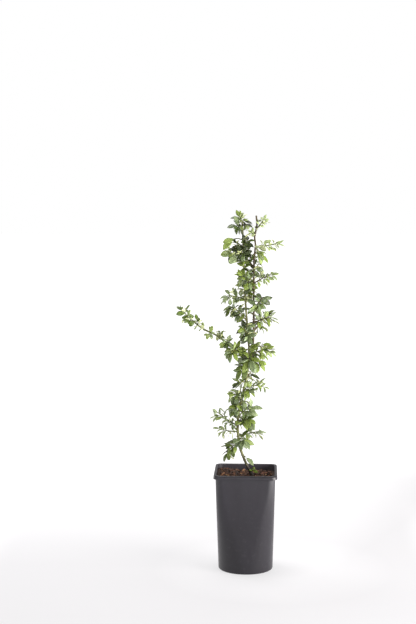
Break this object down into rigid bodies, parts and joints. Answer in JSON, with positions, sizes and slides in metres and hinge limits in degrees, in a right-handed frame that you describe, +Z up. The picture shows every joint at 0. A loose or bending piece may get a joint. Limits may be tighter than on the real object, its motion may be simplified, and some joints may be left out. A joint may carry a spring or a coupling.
{
  "type": "firethorn shrub in a nursery pot",
  "caption": "Young evergreen firethorn shrub with slender upright leaders, a long side shoot and small glossy leaves, standing in its black square-topped nursery pot.",
  "frame": {"origin": "centre of the pot's flat underside", "axes": "+Z up along the plant, +X to the side of the right-hand leader, -Y towards the front of the plant"},
  "size_m": [0.2349, 0.1366, 0.7765],
  "materials": {
    "pot_plastic": "satin moulded black polypropylene",
    "bark_compost": "rough, moist bark and peat compost",
    "old_bark": "smooth olive-brown bark",
    "young_bark": "smooth red-brown bark",
    "green_bark": "smooth yellow-green shoot",
    "leaves_old": "glossy dark green leaf",
    "leaves_mature": "glossy mid green leaf",
    "leaves_young": "soft bright green young leaf"
  },
  "bodies": {
    "root": {"pot": "pot_plastic", "soil": "bark_compost", "main_stem": "old_bark", "right_leader": "young_bark", "long_left_bough": "green_bark", "foot_sprout": "leaves_young", "low_front_leaf": "leaves_mature", "low_left_spray": "leaves_old", "low_right_spur": "leaves_old", "low_right_spray": "leaves_mature", "left_spray_lower": "leaves_young", "left_spray": "leaves_mature", "low_back_spray": "leaves_mature", "mid_right_spur": "leaves_mature", "mid_right_spray": "leaves_mature", "mid_left_spur": "leaves_old", "mid_front_leaf": "leaves_mature", "mid_back_spray": "leaves_old", "upper_left_spray": "leaves_mature", "centre_right_spur": "leaves_mature", "centre_left_spur": "leaves_old", "centre_front_spur": "leaves_young", "right_spray": "leaves_mature", "centre_back_spray": "leaves_old", "waist_front_spray": "leaves_old", "waist_upper_spray": "leaves_old", "waist_left_spur": "leaves_old", "waist_left_spray": "leaves_old", "waist_right_spray": "leaves_mature", "waist_right_shoot": "leaves_young", "waist_front_right": "leaves_mature", "waist_back_spray": "leaves_old", "long_left_inner": "leaves_mature", "long_left_upper": "leaves_mature", "long_left_lower": "leaves_mature", "long_left_tip": "leaves_young", "left_peek": "leaves_mature", "right_peek_lower": "leaves_mature", "right_peek_upper": "leaves_mature", "left_twig": "leaves_mature", "clump_front": "leaves_old", "clump_left": "leaves_old", "clump_right": "leaves_old", "clump_back": "leaves_old", "big_leaf_left": "leaves_mature", "right_shoot": "leaves_young", "right_arching": "leaves_mature", "leader_side_shoot": "leaves_young", "leader_spurs": "leaves_young", "top_left_leaves": "leaves_mature", "top_right_leaves": "leaves_old", "top_rosette": "leaves_mature", "column_spray_1": "leaves_old", "column_spray_2": "leaves_old", "column_spray_3": "leaves_old", "column_spray_4": "leaves_old", "column_spray_5": "leaves_old", "column_spray_6": "leaves_old", "column_spray_7": "leaves_old", "column_spray_8": "leaves_old"}
  },
  "joints": []
}
